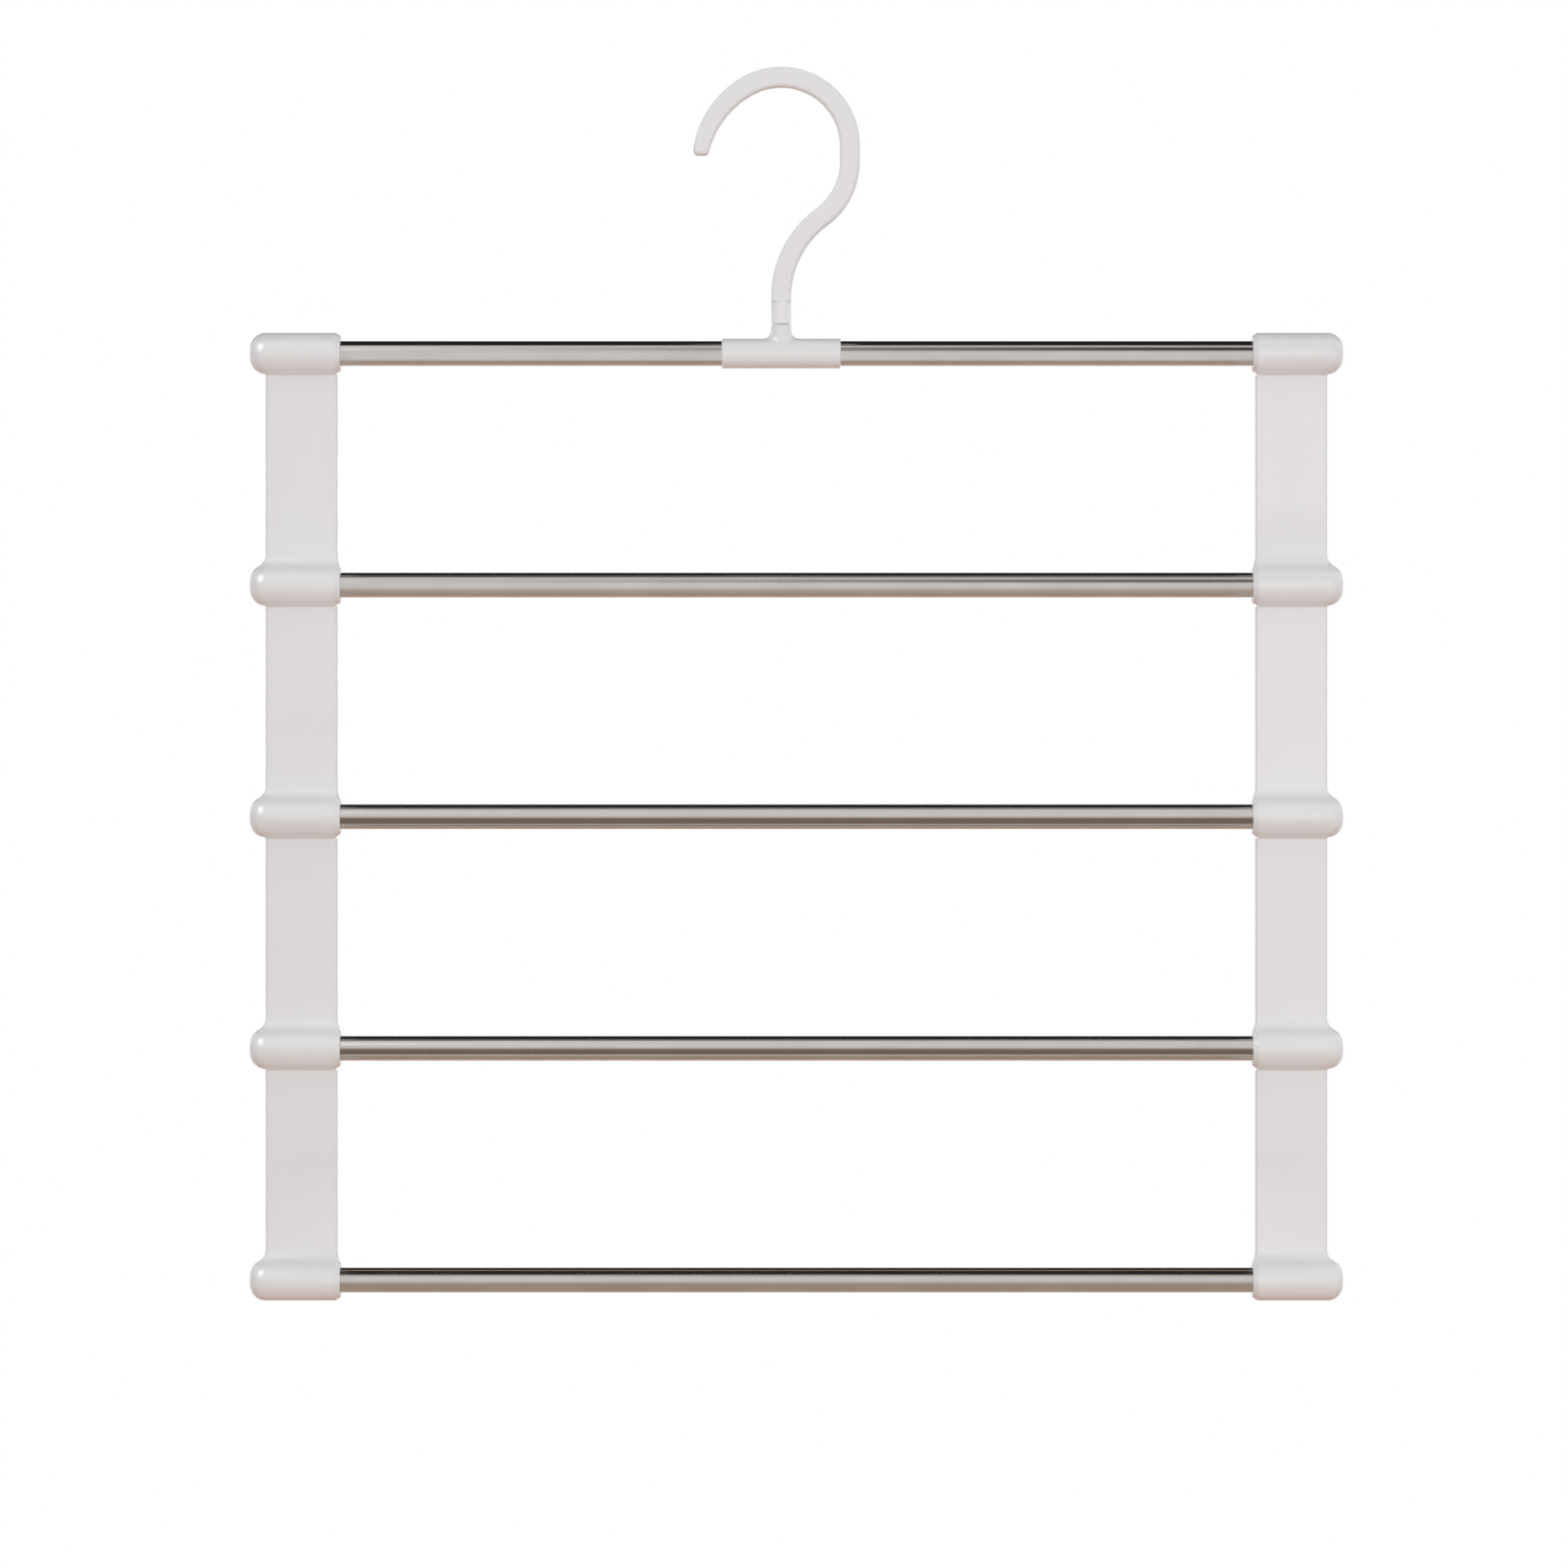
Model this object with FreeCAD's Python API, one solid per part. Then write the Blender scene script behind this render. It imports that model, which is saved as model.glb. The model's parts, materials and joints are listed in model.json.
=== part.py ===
import FreeCAD
import Part
import math
import os

from FreeCAD import Vector

# Pants hanger in millimetres: x runs along the bars, y to the back, z up
# The origin is the axis of the closet rod that the hook hangs on

# Layout of the rack
overall_width = 350.0
bar_count = 5
bar_pitch = 74.2
top_bar_drop = 66.5
hook_to_middle = 4.9

# Steel bars
bar_radius = 4.0
bar_wall = 0.6

# Hinge of a link on the bar above it
knuckle_running = 0.05
knuckle_wall = 1.15
knuckle_gap = 0.3
shoulder_gap = 0.35

# Domed sleeves on the bar ends
sleeve_length = 29.0
sleeve_shell = 1.1
rim_collar = 6.0
rim_taper = 1.6
rim_drop = 1.0
tip_round = 4.9
tip_wall = 4.0
tip_grip = 4.0
lip_sweep = 0.8

# Flat plate of a link and its blend into the sleeve
plate_thickness = 2.2
plate_tip_inset = 5.0
plate_rim_inset = 1.0
plate_edge_break = 0.6
foot_round = 5.0
tip_spread = 1.7
rim_spread = 0.55

# Stop ribs behind the sleeves, which end the fold
fold_limit = 60.0
stop_gap = 0.25
stop_thickness = 2.0
stop_reach = 2.4

# Swivel pin with its washer and collar
pin_radius = 1.25
pin_running = 0.08
pin_head_radius = 2.0
pin_head_thickness = 1.1
pin_head_gap = 0.3
pin_floor_gap = 0.5
pin_thrust_gap = 0.1
pin_grip = 7.0
washer_thickness = 0.6
washer_edge_gap = 0.05
collar_radius = 3.2
collar_height = 7.4
collar_gap = 0.3
collar_break = 0.3

# Tee on the top bar
tee_length = 38.0
tee_wall = 0.75
tee_end_break = 0.3
boss_wall = 0.95
boss_roof = 2.7
boss_flare = 2.5

# Hook
rod_space_radius = 18.8
hook_band = 6.4
hook_depth = 5.4
hook_edge_round = 1.2
hook_side_drop = 5.0
hook_arm_angle = 119.0
hook_arm_radius = 30.0
hook_tip_drop = 3.0
hook_tip_width = 5.0
hook_tip_round = 1.5
hook_stem_straight = 1.4

# Places and sizes that follow from those above
knuckle_bore = bar_radius + knuckle_running
knuckle_radius = knuckle_bore + knuckle_wall
pocket_radius = knuckle_radius + knuckle_gap
sleeve_radius = pocket_radius + sleeve_shell
shoulder_radius = sleeve_radius + shoulder_gap
tip_x = overall_width / 2
rim_x = tip_x - sleeve_length
dome = (tip_x - tip_round, sleeve_radius - tip_round)
seat_x = tip_x - tip_wall
plate_rim_x = rim_x + plate_rim_inset
plate_tip_x = tip_x - plate_tip_inset
pocket_span = (rim_x + rim_collar, seat_x - tip_grip)
knuckle_span = (pocket_span[0] + knuckle_gap, pocket_span[1] - knuckle_gap)
tee_radius = bar_radius + tee_wall
pin_bore = pin_radius + pin_running
pin_well_radius = pin_head_radius + pin_head_gap
pin_head_base = bar_radius + pin_floor_gap
pin_head_top = pin_head_base + pin_head_thickness
boss_radius = pin_well_radius + boss_wall
boss_ceiling = pin_head_top + pin_thrust_gap + washer_thickness
boss_top = boss_ceiling + boss_roof
collar_base = boss_top + collar_gap
collar_top = collar_base + collar_height
stem_end = collar_top - top_bar_drop
hair = 0.001


def in_xz(u, v):
    return Vector(u, 0, v)


def in_yz(u, v):
    return Vector(0, u, v)


def line(plane, start, end):
    return Part.makeLine(plane(*start), plane(*end))


def on_circle(centre, radius, degrees):
    angle = math.radians(degrees)
    return (centre[0] + radius * math.cos(angle), centre[1] + radius * math.sin(angle))


def arc(plane, centre, radius, start, end):
    points = [on_circle(centre, radius, degrees) for degrees in (start, (start + end) / 2, end)]
    return Part.Arc(*[plane(*point) for point in points]).toShape()


# Arc that leaves its start square to the unit direction towards its centre, and passes through its end
def arc_through(plane, start, towards, end):
    across = (end[0] - start[0], end[1] - start[1])
    along = across[0] * towards[0] + across[1] * towards[1]
    radius = math.hypot(*across) ** 2 / (2 * along)
    centre = (start[0] + radius * towards[0], start[1] + radius * towards[1])
    middle = ((start[0] + end[0]) / 2 - centre[0], (start[1] + end[1]) / 2 - centre[1])
    reach = radius / math.hypot(*middle)
    crest = (centre[0] + middle[0] * reach, centre[1] + middle[1] * reach)
    return Part.Arc(plane(*start), plane(*crest), plane(*end)).toShape()


def filled(edges):
    return Part.Face(Part.Wire(edges))


def rod_x(radius, start, end):
    return Part.makeCylinder(radius, end - start, Vector(start, 0, 0), Vector(1, 0, 0))


def rod_z(radius, start, end):
    return Part.makeCylinder(radius, end - start, Vector(0, 0, start), Vector(0, 0, 1))


def block(x_span, y_span, z_span):
    spans = (x_span, y_span, z_span)
    sides = [high - low for low, high in spans]
    return Part.makeBox(*sides, Vector(*[low for low, high in spans]))


def moved(shape, x=0.0, y=0.0, z=0.0):
    copy = shape.copy()
    copy.translate(Vector(x, y, z))
    return copy


def one_solid(shape):
    return shape.removeSplitter().Solids[0]


# Right-hand sleeve on the x axis: a turned form with a domed tip and a tapered rim
def sleeve_body():
    rim = (rim_x, sleeve_radius - rim_drop)
    outline = [
        line(in_xz, (rim_x, 0), rim),
        line(in_xz, rim, (rim_x + rim_taper, sleeve_radius)),
        line(in_xz, (rim_x + rim_taper, sleeve_radius), (dome[0], sleeve_radius)),
        arc(in_xz, dome, tip_round, 90, 0),
        line(in_xz, (tip_x, dome[1]), (tip_x, 0)),
        line(in_xz, (tip_x, 0), (rim_x, 0)),
    ]
    return filled(outline).revolve(Vector(0, 0, 0), Vector(1, 0, 0), 360)


# Blind seat that grips the bar's end
def bar_seat():
    return rod_x(bar_radius, rim_x - sleeve_length, seat_x)


# Pocket for the knuckle of the link below, open to the back and, behind the front lip, downwards
def hinge_pocket():
    past = 2 * sleeve_radius
    well = rod_x(pocket_radius, *pocket_span)
    mouth = block(pocket_span, (0, past), (-pocket_radius, pocket_radius))
    slot = block(pocket_span, (-plate_thickness / 2 - knuckle_gap, past), (-past, 0))
    return well.fuse([mouth, slot])


# Lip under the front of a sleeve: it covers the gap over the plate below and stops it swinging forwards
def front_lip():
    edge = (-plate_thickness / 2 - knuckle_gap, -shoulder_radius)
    turn = math.degrees(math.acos(sleeve_radius / math.hypot(*edge)))
    root = on_circle((0, 0), sleeve_radius, math.degrees(math.atan2(edge[1], edge[0])) - lip_sweep * turn)
    wedge = filled([
        line(in_yz, root, edge),
        line(in_yz, edge, (edge[0], 0)),
        line(in_yz, (edge[0], 0), root),
    ])
    return moved(wedge, x=rim_x + rim_taper).extrude(Vector(sleeve_length - rim_taper - tip_round, 0, 0))


# Two short ribs that meet the back of the plate below when it is folded up
def stop_ribs():
    face_y = plate_thickness / 2 + stop_gap
    y_span = (face_y, face_y + stop_thickness)
    z_span = (-sleeve_radius - stop_reach, -sleeve_radius + stop_thickness)
    ribs = []
    for x_span in ((plate_rim_x, knuckle_span[0] - 2 * knuckle_gap),
                   (knuckle_span[1] + 2 * knuckle_gap, plate_tip_x)):
        rib = block(x_span, y_span, z_span)
        rib.rotate(Vector(0, 0, 0), Vector(1, 0, 0), fold_limit)
        ribs.append(rib)
    return ribs


# Where the plate's faces start to sweep out, and where they meet the sleeve, as y and z
def foot_points():
    bend_y = plate_thickness / 2 + foot_round
    bend_z = math.sqrt((sleeve_radius + foot_round) ** 2 - bend_y ** 2)
    share = sleeve_radius / (sleeve_radius + foot_round)
    return (bend_y, bend_z), (bend_y * share, bend_z * share)


# Section across the thickness: straight faces that sweep out into the sleeve
def plate_section():
    face_y = plate_thickness / 2
    (bend_y, bend_z), (toe_y, toe_z) = foot_points()
    return filled([
        line(in_yz, (face_y, bar_pitch), (face_y, bend_z)),
        arc_through(in_yz, (face_y, bend_z), (1, 0), (toe_y, toe_z)),
        line(in_yz, (toe_y, toe_z), (toe_y, bar_radius)),
        line(in_yz, (toe_y, bar_radius), (-toe_y, bar_radius)),
        line(in_yz, (-toe_y, bar_radius), (-toe_y, toe_z)),
        arc_through(in_yz, (-face_y, bend_z), (-1, 0), (-toe_y, toe_z)),
        line(in_yz, (-face_y, bend_z), (-face_y, bar_pitch)),
        line(in_yz, (-face_y, bar_pitch), (face_y, bar_pitch)),
    ])


# Front outline: straight sides that flare a little, onto the dome and towards the rim
def plate_outline():
    bend_z = foot_points()[0][1]
    tip_foot = plate_tip_x + tip_spread
    dome_z = dome[1] + math.sqrt(tip_round ** 2 - (tip_foot - dome[0]) ** 2)
    rim_foot = plate_rim_x - rim_spread
    return filled([
        line(in_xz, (plate_tip_x, bar_pitch), (plate_tip_x, bend_z)),
        arc_through(in_xz, (plate_tip_x, bend_z), (1, 0), (tip_foot, dome_z)),
        line(in_xz, (tip_foot, dome_z), (tip_foot, bar_radius)),
        line(in_xz, (tip_foot, bar_radius), (rim_foot, bar_radius)),
        line(in_xz, (rim_foot, bar_radius), (rim_foot, sleeve_radius)),
        arc_through(in_xz, (plate_rim_x, bend_z), (-1, 0), (rim_foot, sleeve_radius)),
        line(in_xz, (plate_rim_x, bend_z), (plate_rim_x, bar_pitch)),
        line(in_xz, (plate_rim_x, bar_pitch), (plate_tip_x, bar_pitch)),
    ])


def link_plate():
    along = moved(plate_section(), x=rim_x).extrude(Vector(sleeve_length, 0, 0))
    across = moved(plate_outline(), y=-sleeve_radius).extrude(Vector(0, 2 * sleeve_radius, 0))
    plate = along.common(across)
    bend_z = foot_points()[0][1]
    long_edges = [edge for edge in plate.Edges
                  if edge.BoundBox.ZMin > bend_z - hair and edge.BoundBox.ZLength > plate_thickness]
    return plate.makeChamfer(plate_edge_break, long_edges)


# Right-hand link: plate, sleeve at its foot and knuckle at its head
def link_right(is_last):
    half = plate_thickness / 2
    shoulder = moved(rod_x(shoulder_radius, rim_x, tip_x), z=bar_pitch)
    bore = moved(rod_x(knuckle_bore, rim_x, tip_x), z=bar_pitch)
    knuckle = moved(rod_x(knuckle_radius, *knuckle_span), z=bar_pitch)
    neck = block(knuckle_span, (-half, half), (bar_pitch - shoulder_radius - half, bar_pitch))
    solid = sleeve_body().fuse([link_plate().cut(shoulder), neck, knuckle])
    if not is_last:
        solid = solid.fuse(front_lip()).cut(hinge_pocket()).fuse(stop_ribs())
    return one_solid(solid.cut([bar_seat(), bore]))


def cap_right():
    return one_solid(sleeve_body().fuse(front_lip()).cut([bar_seat(), hinge_pocket()]).fuse(stop_ribs()))


def mirrored(shape):
    return shape.mirror(Vector(0, 0, 0), Vector(1, 0, 0))


def bar():
    return rod_x(bar_radius, -seat_x, seat_x).cut(rod_x(bar_radius - bar_wall, -seat_x, seat_x))


# Thin sleeve with a flared boss; the well under the boss's roof holds the pin's head and the washer
def tee_sleeve():
    half = tee_length / 2
    sleeve = rod_x(tee_radius, -half, half)
    rims = [edge for edge in sleeve.Edges if edge.BoundBox.XLength < hair]
    solid = sleeve.makeChamfer(tee_end_break, rims).fuse(rod_z(boss_radius, 0, boss_top)).removeSplitter()
    saddle = [edge for edge in solid.Edges
              if hair < edge.BoundBox.ZMin and edge.BoundBox.ZMax < tee_radius + hair
              and boss_radius < edge.BoundBox.XLength < 2 * boss_radius + hair]
    solid = solid.makeFillet(boss_flare, saddle)
    well = rod_z(pin_well_radius, 0, boss_ceiling)
    return one_solid(solid.cut([rod_x(bar_radius, -half, half), well, rod_z(pin_bore, 0, boss_top)]))


def swivel_washer():
    ring = rod_z(pin_well_radius - washer_edge_gap, boss_ceiling - washer_thickness, boss_ceiling)
    return ring.cut(rod_z(pin_bore, 0, boss_top))


def swivel_pin():
    head = rod_z(pin_head_radius, pin_head_base, pin_head_top)
    return one_solid(head.fuse(rod_z(pin_radius, pin_head_base, collar_top + pin_grip)))


def neck_collar():
    body = rod_z(collar_radius, collar_base, collar_top)
    rims = [edge for edge in body.Edges if edge.BoundBox.ZLength < hair]
    return body.makeChamfer(collar_break, rims).cut(rod_z(pin_radius, collar_base, collar_top))


# Flat hook: crown round the rod space, tapered tip arm, a drop on the right and an S-bend to the stem
def hook_outline():
    half = hook_band / 2
    crown = rod_space_radius + half
    outer = rod_space_radius + hook_band
    side_z = -hook_side_drop
    stem_z = stem_end + hook_stem_straight
    fall = side_z - stem_z
    bend = (fall ** 2 - crown ** 2) / (2 * crown)
    slant = -math.degrees(math.atan2(fall, bend))
    arm_centre = on_circle((0, 0), crown - hook_arm_radius, hook_arm_angle)
    arm_fall = -hook_tip_drop - arm_centre[1]
    tip_middle = arm_centre[0] - math.sqrt(hook_arm_radius ** 2 - arm_fall ** 2)
    outer_tip = (tip_middle - hook_tip_width / 2, -hook_tip_drop)
    inner_tip = (tip_middle + hook_tip_width / 2, -hook_tip_drop)
    inwards = on_circle((0, 0), 1, hook_arm_angle + 180)
    return filled([
        line(in_xz, (half, stem_end), (half, stem_z)),
        arc(in_xz, (bend, stem_z), bend - half, 180, 180 + slant),
        arc(in_xz, (0, side_z), outer, slant, 0),
        line(in_xz, (outer, side_z), (outer, 0)),
        arc(in_xz, (0, 0), outer, 0, hook_arm_angle),
        arc_through(in_xz, on_circle((0, 0), outer, hook_arm_angle), inwards, outer_tip),
        line(in_xz, outer_tip, inner_tip),
        arc_through(in_xz, on_circle((0, 0), rod_space_radius, hook_arm_angle), inwards, inner_tip),
        arc(in_xz, (0, 0), rod_space_radius, hook_arm_angle, 0),
        line(in_xz, (rod_space_radius, 0), (rod_space_radius, side_z)),
        arc(in_xz, (0, side_z), rod_space_radius, 0, slant),
        arc(in_xz, (bend, stem_z), bend + half, 180 + slant, 180),
        line(in_xz, (-half, stem_z), (-half, stem_end)),
        line(in_xz, (-half, stem_end), (half, stem_end)),
    ])


def hook():
    solid = moved(hook_outline(), y=-hook_depth / 2).extrude(Vector(0, hook_depth, 0))
    tip_corners = [edge for edge in solid.Edges
                   if edge.BoundBox.XMax < -rod_space_radius and edge.BoundBox.YLength > hook_depth / 2
                   and edge.BoundBox.ZMax < hair - hook_tip_drop]
    solid = solid.makeFillet(hook_tip_round, tip_corners)
    rims = [edge for edge in solid.Edges
            if edge.BoundBox.YLength < hair and edge.BoundBox.ZMax > stem_end + hair]
    pin_hole = moved(rod_z(pin_radius, 0, collar_top + pin_grip), z=-top_bar_drop)
    return one_solid(solid.makeFillet(hook_edge_round, rims).cut(pin_hole))


def build():
    pieces = {"hook": hook()}
    neck = {"neck_collar": neck_collar(), "swivel_pin": swivel_pin(),
            "swivel_washer": swivel_washer(), "tee_sleeve": tee_sleeve()}
    for name, shape in neck.items():
        pieces[name] = moved(shape, z=-top_bar_drop)
    for tier in range(1, bar_count + 1):
        right = cap_right() if tier == 1 else link_right(tier == bar_count)
        names = ("top_bar", "top_cap_right", "top_cap_left") if tier == 1 else (
            f"bar_{tier}", f"link_right_{tier}", f"link_left_{tier}")
        for name, shape in zip(names, (bar(), right, mirrored(right))):
            pieces[name] = moved(shape, x=hook_to_middle, z=-top_bar_drop - (tier - 1) * bar_pitch)
    return pieces


os.makedirs("parts", exist_ok=True)
for node, shape in build().items():
    shape.exportStep(f"parts/{node}.step")
    print(f"{node}: valid {shape.isValid()}, {len(shape.Solids)} solid, {shape.Volume:.1f} cubic mm")
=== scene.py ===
import json
import math
import bpy
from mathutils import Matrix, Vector


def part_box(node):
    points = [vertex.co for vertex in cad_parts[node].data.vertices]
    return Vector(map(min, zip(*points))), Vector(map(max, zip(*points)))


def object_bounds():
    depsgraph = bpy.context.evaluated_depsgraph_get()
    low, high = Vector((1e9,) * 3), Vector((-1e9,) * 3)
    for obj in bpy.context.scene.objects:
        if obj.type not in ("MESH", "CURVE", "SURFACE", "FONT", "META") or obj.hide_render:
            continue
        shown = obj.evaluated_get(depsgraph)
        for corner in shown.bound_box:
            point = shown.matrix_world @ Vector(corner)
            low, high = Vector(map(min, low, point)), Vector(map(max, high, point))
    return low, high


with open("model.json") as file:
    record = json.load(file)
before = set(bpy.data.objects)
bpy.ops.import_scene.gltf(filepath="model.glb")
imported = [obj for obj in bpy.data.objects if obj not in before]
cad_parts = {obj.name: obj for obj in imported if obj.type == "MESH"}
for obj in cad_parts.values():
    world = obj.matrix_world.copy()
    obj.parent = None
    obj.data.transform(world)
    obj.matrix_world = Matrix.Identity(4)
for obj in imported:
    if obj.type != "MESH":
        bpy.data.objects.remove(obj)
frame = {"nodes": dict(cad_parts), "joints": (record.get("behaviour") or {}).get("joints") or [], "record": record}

mm = 0.001
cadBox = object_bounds()
nodes = frame["nodes"]
slotOf = {part["node"]: part["material_slot"] for part in frame["record"]["subparts"]}
folds = [joint["pos_m"] for joint in frame["joints"] if joint["name"].endswith("fold")]
rackMiddle, topBarHeight = folds[0][0], folds[0][2]
barPitch = folds[0][2] - folds[1][2]
target = Vector((rackMiddle, 0, (cadBox[0][2] + cadBox[1][2]) / 2))
plateLow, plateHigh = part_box("link_right_2")
plateMiddle = (plateLow[0] + plateHigh[0]) / 2 - rackMiddle
print("frame: %d nodes, bars %.1f mm apart" % (len(nodes), barPitch / mm))


# most of what a noise texture gives lies in this range
noiseLow, noiseHigh = 0.3, 0.7


# sRGB hex to the linear colour that the shaders take
def linear(hexColour):
    parts = [int(hexColour[i:i + 2], 16) / 255 for i in (1, 3, 5)]
    return [c / 12.92 if c <= 0.04045 else ((c + 0.055) / 1.055) ** 2.4 for c in parts] + [1.0]


# one node with its properties, its socket values by name or number, and what feeds its sockets
def addNode(tree, kind, settings={}, links={}):
    node = tree.nodes.new(kind)
    for name, value in settings.items():
        if name in range(len(node.inputs)) or name in node.inputs:
            node.inputs[name].default_value = value
        else:
            setattr(node, name, value)
    for name, source in links.items():
        tree.links.new(source, node.inputs[name])
    return node


def newMaterial(name):
    material = bpy.data.materials.new(name)
    material.use_nodes = True
    material.node_tree.nodes.clear()
    return material, material.node_tree


# ABS moulded in a polished tool: a soft clear gloss over faint flow marks and a slight orange peel,
# with a hairline where the mould's halves met and ejector rings on the backs of the plates
linkLook = {
    "colour": "#dcdcdf", "flowColour": "#d8d8db", "ior": 1.53, "roughness": (0.13, 0.19),
    "flowMark": 30 * mm, "flowStretch": 0.35, "orangePeel": 2.4 * mm, "peelHeight": 0.006 * mm,
    "scuff": 4 * mm, "partingLine": 0.2 * mm, "partingHeight": 0.03 * mm,
    "ejectorRadius": 2.8 * mm, "ejectorLine": 0.3 * mm, "ejectorDepth": 0.05 * mm,
    "ejectorFromMiddle": 0.17 * barPitch,
    "facesBack": 0.9,       # how squarely a face looks back to carry rings
}


def mouldedAbs(look):
    material, tree = newMaterial("absMouldedGloss")
    place = addNode(tree, "ShaderNodeTexCoord")
    along = addNode(tree, "ShaderNodeMapping", {"Scale": (1, 1, look["flowStretch"])},
                    {"Vector": place.outputs["Object"]})
    flow = addNode(tree, "ShaderNodeTexNoise", {"Scale": 1 / look["flowMark"], "Detail": 1},
                   {"Vector": along.outputs[0]})
    scuff = addNode(tree, "ShaderNodeTexNoise", {"Scale": 1 / look["scuff"], "Detail": 6},
                    {"Vector": place.outputs["Object"]})
    peel = addNode(tree, "ShaderNodeTexNoise", {"Scale": 1 / look["orangePeel"], "Detail": 1},
                   {"Vector": place.outputs["Object"]})
    colour = addNode(tree, "ShaderNodeMix", {"data_type": "RGBA", 6: linear(look["colour"]),
                                             7: linear(look["flowColour"])}, {0: flow.outputs[0]})
    rough = addNode(tree, "ShaderNodeMapRange",
                    {"From Min": noiseLow, "From Max": noiseHigh,
                     "To Min": look["roughness"][0], "To Max": look["roughness"][1]},
                    {"Value": scuff.outputs[0]})
    # the mould parts on the plane of the plates
    axes = addNode(tree, "ShaderNodeSeparateXYZ", links={0: place.outputs["Object"]})
    depth = addNode(tree, "ShaderNodeMath", {"operation": "ABSOLUTE"}, {0: axes.outputs["Y"]})
    seam = addNode(tree, "ShaderNodeMapRange",
                   {"interpolation_type": "SMOOTHSTEP", "From Min": look["partingLine"], "From Max": 0},
                   {"Value": depth.outputs[0]})
    # two rings on the back of each plate, above and below its middle
    side = addNode(tree, "ShaderNodeMath", {"operation": "SUBTRACT", 1: rackMiddle}, {0: axes.outputs["X"]})
    side = addNode(tree, "ShaderNodeMath", {"operation": "ABSOLUTE"}, {0: side.outputs[0]})
    side = addNode(tree, "ShaderNodeMath", {"operation": "SUBTRACT", 1: plateMiddle}, {0: side.outputs[0]})
    rise = addNode(tree, "ShaderNodeMath", {"operation": "SUBTRACT", 1: topBarHeight},
                   {0: axes.outputs["Z"]})
    rise = addNode(tree, "ShaderNodeMath", {"operation": "FLOORED_MODULO", 1: barPitch},
                   {0: rise.outputs[0]})
    rise = addNode(tree, "ShaderNodeMath", {"operation": "SUBTRACT", 1: barPitch / 2}, {0: rise.outputs[0]})
    rise = addNode(tree, "ShaderNodeMath", {"operation": "ABSOLUTE"}, {0: rise.outputs[0]})
    rise = addNode(tree, "ShaderNodeMath", {"operation": "SUBTRACT", 1: look["ejectorFromMiddle"]},
                   {0: rise.outputs[0]})
    spot = addNode(tree, "ShaderNodeCombineXYZ", links={0: side.outputs[0], 1: rise.outputs[0]})
    reach = addNode(tree, "ShaderNodeVectorMath", {"operation": "LENGTH"}, {0: spot.outputs[0]})
    ring = addNode(tree, "ShaderNodeMath", {"operation": "SUBTRACT", 1: look["ejectorRadius"]},
                   {0: reach.outputs["Value"]})
    ring = addNode(tree, "ShaderNodeMath", {"operation": "ABSOLUTE"}, {0: ring.outputs[0]})
    ring = addNode(tree, "ShaderNodeMapRange",
                   {"interpolation_type": "SMOOTHSTEP", "From Min": look["ejectorLine"], "From Max": 0},
                   {"Value": ring.outputs[0]})
    facing = addNode(tree, "ShaderNodeSeparateXYZ", links={0: place.outputs["Normal"]})
    behind = addNode(tree, "ShaderNodeMath", {"operation": "GREATER_THAN", 1: look["facesBack"]},
                     {0: facing.outputs["Y"]})
    ring = addNode(tree, "ShaderNodeMath", {"operation": "MULTIPLY"},
                   {0: ring.outputs[0], 1: behind.outputs[0]})
    bump = addNode(tree, "ShaderNodeBump", {"Distance": look["peelHeight"]}, {"Height": peel.outputs[0]})
    bump = addNode(tree, "ShaderNodeBump", {"Distance": look["partingHeight"]},
                   {"Height": seam.outputs[0], "Normal": bump.outputs[0]})
    bump = addNode(tree, "ShaderNodeBump", {"Distance": look["ejectorDepth"], "invert": True},
                   {"Height": ring.outputs[0], "Normal": bump.outputs[0]})
    skin = addNode(tree, "ShaderNodeBsdfPrincipled", {"IOR": look["ior"]},
                   {"Base Color": colour.outputs[2], "Roughness": rough.outputs[0],
                    "Normal": bump.outputs[0]})
    addNode(tree, "ShaderNodeOutputMaterial", links={"Surface": skin.outputs[0]})
    return material


# polypropylene moulded in a spark-eroded tool: an even matt skin with a fine grain that breaks up the
# light, and a soft pale bloom where it turns away
hookLook = {
    "colour": "#d6d6d9", "paleColour": "#dadadd", "ior": 1.49, "roughness": (0.6, 0.74), "fuzz": 0.25,
    "grain": 0.9 * mm,      # the real grit is near 0.1 mm, drawn coarser so that it shows
    "grainHeight": 0.012 * mm, "cloud": 9 * mm, "partingLine": 0.2 * mm, "partingHeight": 0.04 * mm,
}


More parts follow.
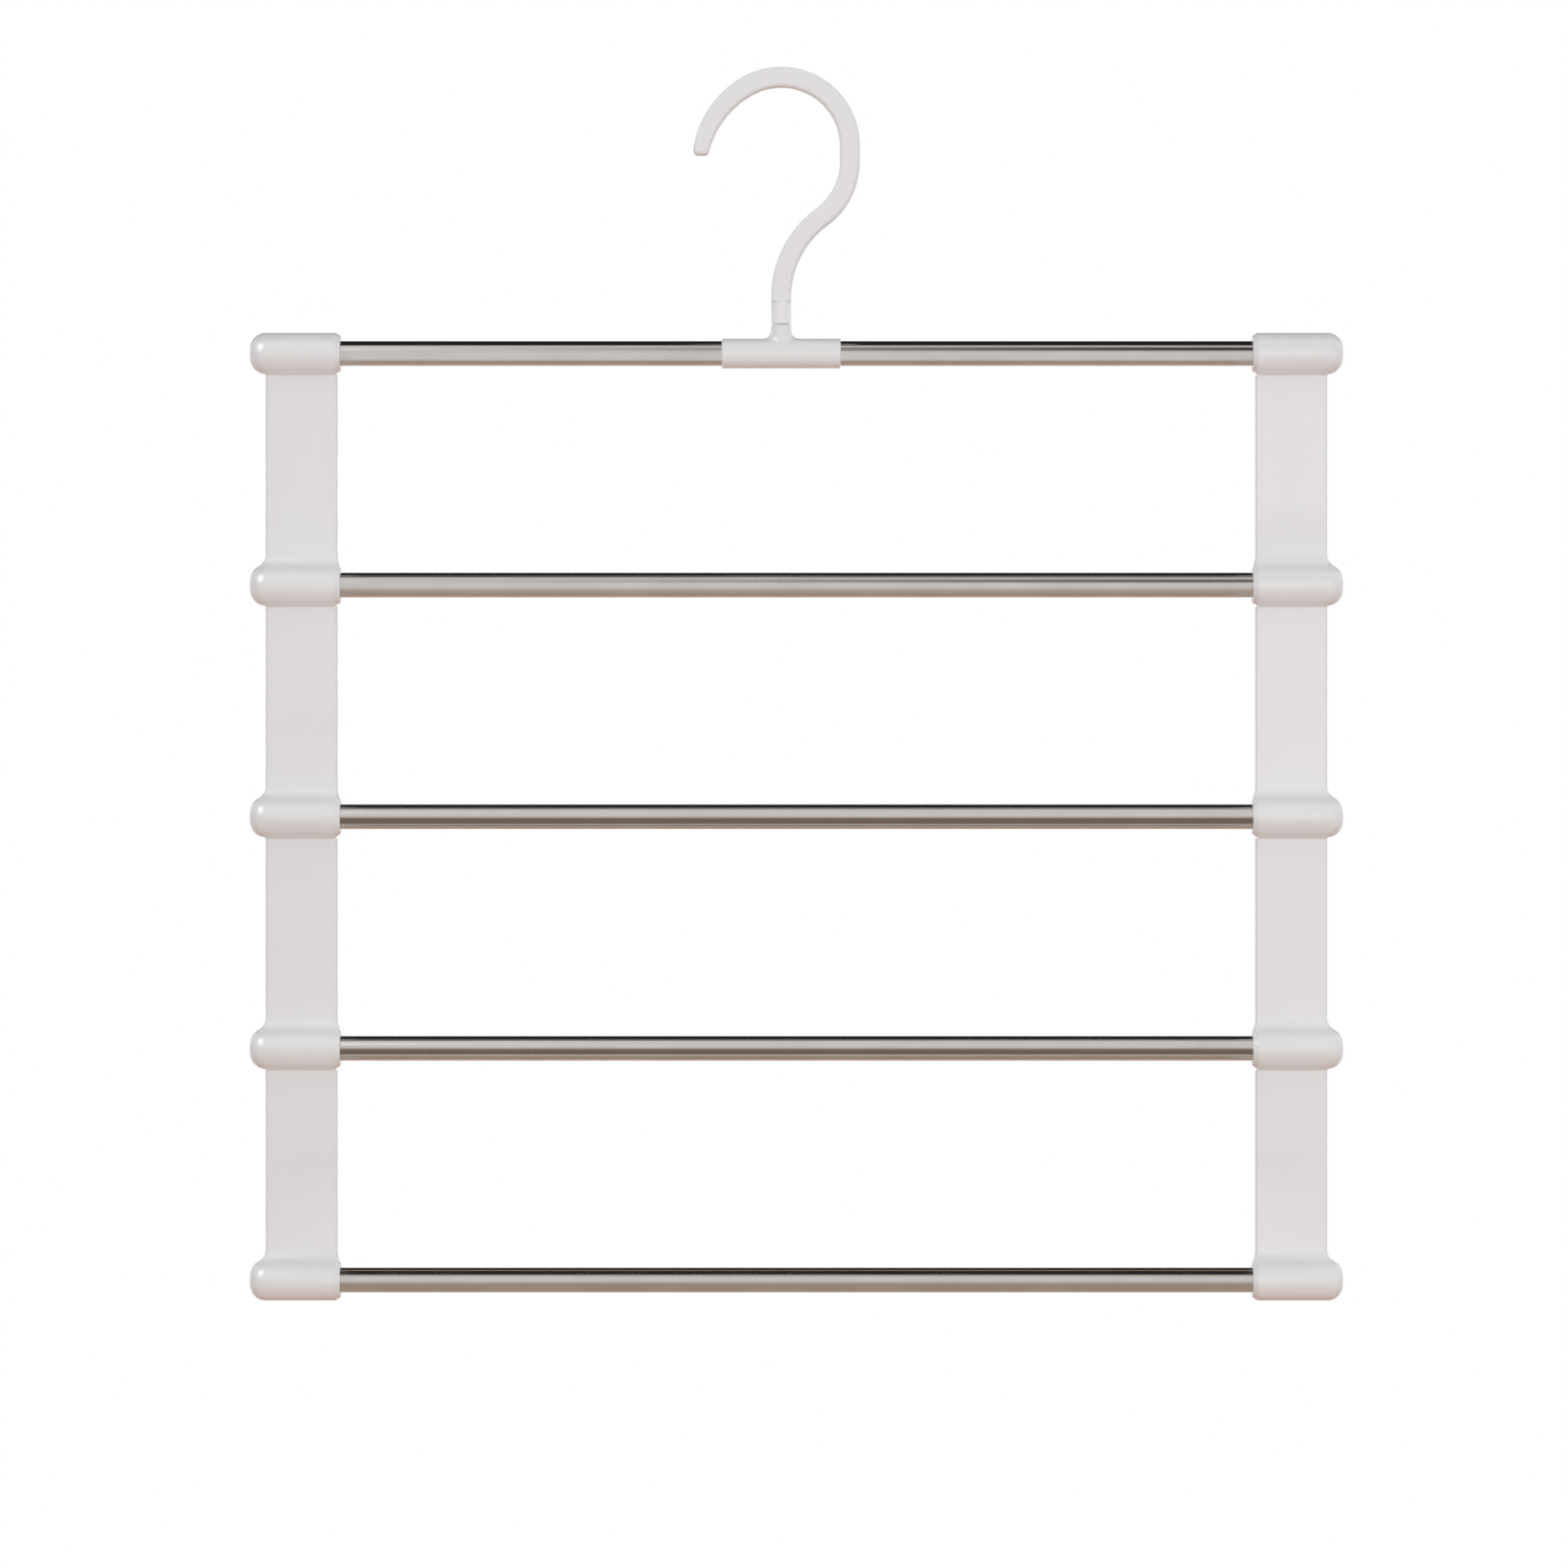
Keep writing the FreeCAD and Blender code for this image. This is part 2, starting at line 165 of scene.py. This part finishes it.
def grainedPolypropylene(look):
    material, tree = newMaterial("polypropyleneMouldedMatt")
    place = addNode(tree, "ShaderNodeTexCoord")
    cloud = addNode(tree, "ShaderNodeTexNoise", {"Scale": 1 / look["cloud"], "Detail": 4},
                    {"Vector": place.outputs["Object"]})
    grain = addNode(tree, "ShaderNodeTexVoronoi", {"Scale": 1 / look["grain"]},
                    {"Vector": place.outputs["Object"]})
    colour = addNode(tree, "ShaderNodeMix", {"data_type": "RGBA", 6: linear(look["colour"]),
                                             7: linear(look["paleColour"])}, {0: cloud.outputs[0]})
    rough = addNode(tree, "ShaderNodeMapRange",
                    {"From Min": noiseLow, "From Max": noiseHigh,
                     "To Min": look["roughness"][0], "To Max": look["roughness"][1]},
                    {"Value": cloud.outputs[0]})
    axes = addNode(tree, "ShaderNodeSeparateXYZ", links={0: place.outputs["Object"]})
    depth = addNode(tree, "ShaderNodeMath", {"operation": "ABSOLUTE"}, {0: axes.outputs["Y"]})
    seam = addNode(tree, "ShaderNodeMapRange",
                   {"interpolation_type": "SMOOTHSTEP", "From Min": look["partingLine"], "From Max": 0},
                   {"Value": depth.outputs[0]})
    bump = addNode(tree, "ShaderNodeBump", {"Distance": look["grainHeight"]}, {"Height": grain.outputs[0]})
    bump = addNode(tree, "ShaderNodeBump", {"Distance": look["partingHeight"]},
                   {"Height": seam.outputs[0], "Normal": bump.outputs[0]})
    skin = addNode(tree, "ShaderNodeBsdfPrincipled", {"IOR": look["ior"], "Sheen Weight": look["fuzz"]},
                   {"Base Color": colour.outputs[2], "Roughness": rough.outputs[0],
                    "Normal": bump.outputs[0]})
    addNode(tree, "ShaderNodeOutputMaterial", links={"Surface": skin.outputs[0]})
    return material


# acetal turned and polished: a slick gloss with faint rings round the collar
collarLook = {
    "colour": "#e4e4e6", "ringColour": "#dedee0", "ior": 1.48, "roughness": (0.1, 0.16),
    "ring": 0.5 * mm, "ringHeight": 0.004 * mm, "ringWobble": 0.6, "scuff": 2.5 * mm,
}


def turnedAcetal(look):
    material, tree = newMaterial("acetalTurnedGloss")
    place = addNode(tree, "ShaderNodeTexCoord")
    # the wave texture repeats every pi / 10 of its scale
    rings = addNode(tree, "ShaderNodeTexWave",
                    {"bands_direction": "Z", "Scale": math.pi / 10 / look["ring"],
                     "Distortion": look["ringWobble"]},
                    {"Vector": place.outputs["Object"]})
    scuff = addNode(tree, "ShaderNodeTexNoise", {"Scale": 1 / look["scuff"], "Detail": 5},
                    {"Vector": place.outputs["Object"]})
    colour = addNode(tree, "ShaderNodeMix", {"data_type": "RGBA", 6: linear(look["colour"]),
                                             7: linear(look["ringColour"])}, {0: scuff.outputs[0]})
    rough = addNode(tree, "ShaderNodeMapRange",
                    {"From Min": noiseLow, "From Max": noiseHigh,
                     "To Min": look["roughness"][0], "To Max": look["roughness"][1]},
                    {"Value": scuff.outputs[0]})
    bump = addNode(tree, "ShaderNodeBump", {"Distance": look["ringHeight"]},
                   {"Height": rings.outputs["Fac"]})
    skin = addNode(tree, "ShaderNodeBsdfPrincipled", {"IOR": look["ior"]},
                   {"Base Color": colour.outputs[2], "Roughness": rough.outputs[0],
                    "Normal": bump.outputs[0]})
    addNode(tree, "ShaderNodeOutputMaterial", links={"Surface": skin.outputs[0]})
    return material


# stainless tube drawn and buffed: clear reflections in long streaks, with a few dull smudges from handling
barLook = {
    "colour": "#c6c3c0", "dullColour": "#bdb8b4", "roughness": (0.1, 0.2),
    "drawLine": 0.5 * mm,    # the real lines are near 0.05 mm, drawn coarser so that they show
    "drawLength": 70 * mm, "drawDepth": 0.003 * mm, "smudge": 20 * mm,
    "streakShare": 0.5, "wear": (0.5, 1.0),
}


def drawnStainless(look):
    material, tree = newMaterial("stainlessDrawnPolished")
    place = addNode(tree, "ShaderNodeTexCoord")
    along = addNode(tree, "ShaderNodeMapping", {"Scale": (look["drawLine"] / look["drawLength"], 1, 1)},
                    {"Vector": place.outputs["Object"]})
    streak = addNode(tree, "ShaderNodeTexNoise", {"Scale": 1 / look["drawLine"], "Detail": 2},
                     {"Vector": along.outputs[0]})
    smudge = addNode(tree, "ShaderNodeTexNoise",
                     {"Scale": 1 / look["smudge"], "Detail": 5, "Roughness": 0.6},
                     {"Vector": place.outputs["Object"]})
    wear = addNode(tree, "ShaderNodeMath", {"operation": "MULTIPLY_ADD", 1: look["streakShare"]},
                   {0: streak.outputs[0], 2: smudge.outputs[0]})
    wear = addNode(tree, "ShaderNodeMapRange", {"From Min": look["wear"][0], "From Max": look["wear"][1]},
                   {"Value": wear.outputs[0]})
    colour = addNode(tree, "ShaderNodeMix", {"data_type": "RGBA", 6: linear(look["colour"]),
                                             7: linear(look["dullColour"])}, {0: wear.outputs[0]})
    rough = addNode(tree, "ShaderNodeMapRange",
                    {"To Min": look["roughness"][0], "To Max": look["roughness"][1]},
                    {"Value": wear.outputs[0]})
    bump = addNode(tree, "ShaderNodeBump", {"Distance": look["drawDepth"]}, {"Height": streak.outputs[0]})
    skin = addNode(tree, "ShaderNodeBsdfPrincipled", {"Metallic": 1},
                   {"Base Color": colour.outputs[2], "Roughness": rough.outputs[0],
                    "Normal": bump.outputs[0]})
    addNode(tree, "ShaderNodeOutputMaterial", links={"Surface": skin.outputs[0]})
    return material


# steel turned or stamped, then zinc plated: a cool satin metal with a cloudy bloom
pinLook = {"colour": "#bfc2c4", "bloomColour": "#a9acae", "roughness": (0.22, 0.38), "bloom": 1.2 * mm}
washerLook = {"colour": "#c6c7c6", "bloomColour": "#b1b2b0", "roughness": (0.28, 0.45), "bloom": 1.6 * mm}


def zincPlate(name, look):
    material, tree = newMaterial(name)
    place = addNode(tree, "ShaderNodeTexCoord")
    bloom = addNode(tree, "ShaderNodeTexNoise", {"Scale": 1 / look["bloom"], "Detail": 4},
                    {"Vector": place.outputs["Object"]})
    colour = addNode(tree, "ShaderNodeMix", {"data_type": "RGBA", 6: linear(look["colour"]),
                                             7: linear(look["bloomColour"])}, {0: bloom.outputs[0]})
    rough = addNode(tree, "ShaderNodeMapRange",
                    {"From Min": noiseLow, "From Max": noiseHigh,
                     "To Min": look["roughness"][0], "To Max": look["roughness"][1]},
                    {"Value": bloom.outputs[0]})
    skin = addNode(tree, "ShaderNodeBsdfPrincipled", {"Metallic": 1},
                   {"Base Color": colour.outputs[2], "Roughness": rough.outputs[0]})
    addNode(tree, "ShaderNodeOutputMaterial", links={"Surface": skin.outputs[0]})
    return material


finishes = {
    "link_plastic": mouldedAbs(linkLook),
    "hook_plastic": grainedPolypropylene(hookLook),
    "collar_plastic": turnedAcetal(collarLook),
    "bar_steel": drawnStainless(barLook),
    "pin_steel": zincPlate("steelTurnedZincPlated", pinLook),
    "washer_steel": zincPlate("steelStampedZincPlated", washerLook),
}
for name, piece in nodes.items():
    piece.material_slots[0].material = finishes[slotOf[name]]
print("finishes: %d materials on %d pieces" % (len(finishes), len(nodes)))


# a room that shows white to the eye and to mirrors, and gives the rack a weaker, even fill
roomLook = {"fill": 0.38}


def roomLevel(tree):
    rays = addNode(tree, "ShaderNodeLightPath")
    seen = addNode(tree, "ShaderNodeMath", {"operation": "MAXIMUM"},
                   {0: rays.outputs["Is Camera Ray"], 1: rays.outputs["Is Glossy Ray"]})
    seen = addNode(tree, "ShaderNodeMath", {"operation": "MAXIMUM"},
                   {0: seen.outputs[0], 1: rays.outputs["Is Transmission Ray"]})
    return addNode(tree, "ShaderNodeMapRange", {"To Min": roomLook["fill"]}, {"Value": seen.outputs[0]})


world = bpy.data.worlds.new("whiteRoom")
world.use_nodes = True
world.node_tree.nodes["Background"].inputs["Color"].default_value = (1, 1, 1, 1)
world.node_tree.links.new(roomLevel(world.node_tree).outputs[0],
                          world.node_tree.nodes["Background"].inputs["Strength"])
bpy.context.scene.world = world

# floor far under the hanging rack: a wide pool of warm light that fades to the white room, paler to the
# eye and in mirrors than the light it gives
floorLook = {"colour": "#bd8654", "paleness": 0.75, "mirrorPaleness": 0.35,
             "below": 1000 * mm, "radius": 2200 * mm, "fadeFrom": 1400 * mm}


def layFloor(look):
    bpy.ops.mesh.primitive_circle_add(vertices=96, radius=look["radius"], fill_type="NGON",
                                      location=(rackMiddle, 0, cadBox[0][2] - look["below"]))
    floor = bpy.context.object
    floor.name = "floor"
    material, tree = newMaterial("floorPaintedPale")
    place = addNode(tree, "ShaderNodeTexCoord")
    reach = addNode(tree, "ShaderNodeVectorMath", {"operation": "LENGTH"}, {0: place.outputs["Object"]})
    fade = addNode(tree, "ShaderNodeMapRange",
                   {"interpolation_type": "SMOOTHSTEP", "From Min": look["fadeFrom"],
                    "From Max": look["radius"]},
                   {"Value": reach.outputs["Value"]})
    level = roomLevel(tree)
    rays = addNode(tree, "ShaderNodeLightPath")
    palenessTo = {"Is Camera Ray": look["paleness"], "Is Glossy Ray": look["mirrorPaleness"]}
    for seenBy, paleness in palenessTo.items():
        pale = addNode(tree, "ShaderNodeMapRange", {"To Max": paleness}, {"Value": rays.outputs[seenBy]})
        fade = addNode(tree, "ShaderNodeMath", {"operation": "MAXIMUM"},
                       {0: fade.outputs[0], 1: pale.outputs[0]})
    paint = addNode(tree, "ShaderNodeBsdfDiffuse", {"Color": linear(look["colour"])})
    white = addNode(tree, "ShaderNodeEmission", links={"Strength": level.outputs[0]})
    mixed = addNode(tree, "ShaderNodeMixShader",
                    links={0: fade.outputs[0], 1: paint.outputs[0], 2: white.outputs[0]})
    addNode(tree, "ShaderNodeOutputMaterial", links={"Surface": mixed.outputs[0]})
    floor.data.materials.append(material)


layFloor(floorLook)

# curved sheets that glow with their own colours and show only in reflections, out of the camera's sight, casting
# no light or shadow
# and blank on the outside: painted reflections for the steel. They run round the bars from one angle to another,
# in degrees from the viewer's side (0) over the top (90) to the back (180), and each turns from its own colour at
# the angle it aims at to the colour of its edges; the line flags paint a thin dark reflection line onto the two
# upper bars that fades out to the left
cards = {
    "ceilingFlag": {"colour": "#2a2a2c", "edge": "#ffffff", "span": (67, 170), "aim": 118, "fade": (33, 51),
                    "away": 1100 * mm, "halfWidth": 1200 * mm, "softEnds": 0.25,
                    "aside": 0, "height": -204 * mm},
    "tableCard": {"colour": "#907e72", "edge": "#e8dccf", "span": (-80, 8), "aim": -36, "fade": (22, 44),
                  "away": 600 * mm, "halfWidth": 400 * mm, "softEnds": 0.25,
                  "aside": 0, "height": -290 * mm},
    "bounceCard": {"colour": "#ffffff", "edge": "#d0c1b2", "span": (-88, 42), "aim": -3, "fade": (30, 75),
                   "away": 80 * mm, "halfWidth": 190 * mm, "softEnds": 0.25,
                   "aside": 0, "height": -110 * mm},
    "lowCard": {"colour": "#ffffff", "edge": "#c4b4a4", "span": (-120, 44), "aim": 12, "fade": (8, 50),
                "away": 40 * mm, "halfWidth": 190 * mm, "softEnds": 0.25,
                "aside": 0, "height": -363 * mm},
    "lowFlag": {"colour": "#2a2a2c", "edge": "#c4b4a4", "span": (44, 104), "aim": 74, "fade": (14, 30),
                "away": 40 * mm, "halfWidth": 190 * mm, "softEnds": 0.25,
                "aside": 0, "height": -363 * mm},
    "lineFlagTop": {"colour": "#504c4a", "edge": "#ffffff", "span": (9, 65), "aim": 37, "fade": (7, 28),
                    "away": 30 * mm, "halfWidth": 330 * mm, "softEnds": 1, "aside": 145 * mm,
                    "height": topBarHeight},
    "lineFlagSecond": {"colour": "#807a76", "edge": "#ffffff", "span": (10, 62), "aim": 36, "fade": (5, 26),
                       "away": 30 * mm, "halfWidth": 330 * mm, "softEnds": 1, "aside": 145 * mm,
                       "height": topBarHeight - barPitch},
}


def hangCard(name, look, steps=24):
    low, high = [math.radians(degrees) for degrees in look["span"]]
    corners, faces = [], []
    for i in range(steps + 1):
        angle = low + (high - low) * i / steps
        for side in (-1, 1):
            corners.append((side * look["halfWidth"],
                            -look["away"] * math.cos(angle), look["away"] * math.sin(angle)))
        if i:
            faces.append((2 * i - 2, 2 * i - 1, 2 * i + 1, 2 * i))
    mesh = bpy.data.meshes.new(name)
    mesh.from_pydata(corners, [], faces)
    card = bpy.data.objects.new(name, mesh)
    card.location = (rackMiddle + look["aside"], 0, look["height"])
    # seen only in reflections: these sheets paint reflections and give no light or shadow
    card.visible_camera = card.visible_shadow = card.visible_diffuse = False
    bpy.context.collection.objects.link(card)
    material, tree = newMaterial(name + "MirrorGlow")
    place = addNode(tree, "ShaderNodeTexCoord")
    axes = addNode(tree, "ShaderNodeSeparateXYZ", links={0: place.outputs["Object"]})
    front = addNode(tree, "ShaderNodeMath", {"operation": "MULTIPLY", 1: -1}, {0: axes.outputs["Y"]})
    angle = addNode(tree, "ShaderNodeMath", {"operation": "ARCTAN2"},
                    {0: axes.outputs["Z"], 1: front.outputs[0]})
    offset = addNode(tree, "ShaderNodeMath", {"operation": "SUBTRACT", 1: math.radians(look["aim"])},
                     {0: angle.outputs[0]})
    offset = addNode(tree, "ShaderNodeMath", {"operation": "ABSOLUTE"}, {0: offset.outputs[0]})
    fade = addNode(tree, "ShaderNodeMapRange",
                   {"interpolation_type": "SMOOTHSTEP", "From Min": math.radians(look["fade"][0]),
                    "From Max": math.radians(look["fade"][1])},
                   {"Value": offset.outputs[0]})
    tone = addNode(tree, "ShaderNodeMix",
                   {"data_type": "RGBA", 6: linear(look["colour"]), 7: linear(look["edge"])},
                   {0: fade.outputs[0]})
    # the sheet glows with its tone instead of being lit: a painted reflection
    mirroredGlow = addNode(tree, "ShaderNodeEmission", links={"Color": tone.outputs[2]})
    blank = addNode(tree, "ShaderNodeBsdfTransparent")
    face = addNode(tree, "ShaderNodeNewGeometry")
    across = addNode(tree, "ShaderNodeMath", {"operation": "ABSOLUTE"}, {0: axes.outputs["X"]})
    ends = addNode(tree, "ShaderNodeMapRange",
                   {"interpolation_type": "SMOOTHSTEP", "From Min": look["halfWidth"],
                    "From Max": (1 - look["softEnds"]) * look["halfWidth"]},
                   {"Value": across.outputs[0]})
    shown = addNode(tree, "ShaderNodeMath", {"operation": "MULTIPLY"},
                    {0: face.outputs["Backfacing"], 1: ends.outputs[0]})
    inside = addNode(tree, "ShaderNodeMixShader",
                     links={0: shown.outputs[0], 1: blank.outputs[0], 2: mirroredGlow.outputs[0]})
    addNode(tree, "ShaderNodeOutputMaterial", links={"Surface": inside.outputs[0]})
    mesh.materials.append(material)


for name, look in cards.items():
    hangCard(name, look)

# a window high on the left that only glints, brightest in its middle and fading into the room, in metres
windowLook = {"at": (-0.95, -1.0, 0.74), "radius": 900 * mm, "strength": 10}


def hangWindow(look):
    facing = (target - Vector(look["at"])).to_track_quat("Z", "Y").to_euler()
    bpy.ops.mesh.primitive_circle_add(vertices=64, radius=look["radius"], fill_type="NGON",
                                      location=look["at"], rotation=facing)
    window = bpy.context.object
    window.name = "window"
    window.visible_camera = window.visible_shadow = window.visible_diffuse = False
    material, tree = newMaterial("windowGlow")
    place = addNode(tree, "ShaderNodeTexCoord")
    reach = addNode(tree, "ShaderNodeVectorMath", {"operation": "LENGTH"}, {0: place.outputs["Object"]})
    level = addNode(tree, "ShaderNodeMapRange",
                    {"interpolation_type": "SMOOTHSTEP", "From Max": look["radius"],
                     "To Min": look["strength"], "To Max": 1},
                    {"Value": reach.outputs["Value"]})
    glow = addNode(tree, "ShaderNodeEmission", links={"Strength": level.outputs[0]})
    addNode(tree, "ShaderNodeOutputMaterial", links={"Surface": glow.outputs[0]})
    window.data.materials.append(material)


hangWindow(windowLook)

# soft lamps, in metres and watts: broad ones in front and behind, a pair in front at the sides for the
# upright edges, a weak one above and a pair behind at the sides
lamps = {
    "keySoftbox": {"at": (0.3, -2.2, -0.3), "size": 1.2, "watts": 22.7},
    "sideSoftboxLeft": {"at": (-1.6, -1.1, -0.2), "size": 0.8, "watts": 5},
    "sideSoftboxRight": {"at": (1.6, -1.1, -0.2), "size": 0.8, "watts": 5},
    "backSoftbox": {"at": (-0.3, 2.2, -0.1), "size": 1.2, "watts": 17},
    "topSoftbox": {"at": (0, -0.5, 1.2), "size": 0.8, "watts": 3.6},
    "edgeSoftboxLeft": {"at": (-1.0, 0.7, 0.45), "size": 0.8, "watts": 6},
    "edgeSoftboxRight": {"at": (1.0, 0.7, 0.45), "size": 0.8, "watts": 6},
}
for name, lamp in lamps.items():
    light = bpy.data.lights.new(name, "AREA")
    light.shape, light.size, light.energy = "SQUARE", lamp["size"], lamp["watts"]
    holder = bpy.data.objects.new(name, light)
    holder.location = lamp["at"]
    holder.visible_glossy = False
    holder.rotation_euler = (target - holder.location).to_track_quat("-Z", "Y").to_euler()
    bpy.context.collection.objects.link(holder)
print("stage: floor, %d cards, a window and %d lamps" % (len(cards), len(lamps)))

# the photograph is square on, and its width spans this much at the rack
cameraLook = {"lens": 135, "width": 502.4 * mm, "aim": (0.9 * mm, -204.4 * mm)}
camera = bpy.data.cameras.new("camera")
camera.lens = cameraLook["lens"]
cameraHolder = bpy.data.objects.new("camera", camera)
away = cameraLook["width"] * camera.lens / camera.sensor_width
cameraHolder.location = (cameraLook["aim"][0], -away, cameraLook["aim"][1])
cameraHolder.rotation_euler = (math.pi / 2, 0, 0)
bpy.context.collection.objects.link(cameraHolder)
bpy.context.scene.camera = cameraHolder
bpy.context.scene.view_settings.view_transform = "Standard"
print("camera %.2f m from the rack" % away)
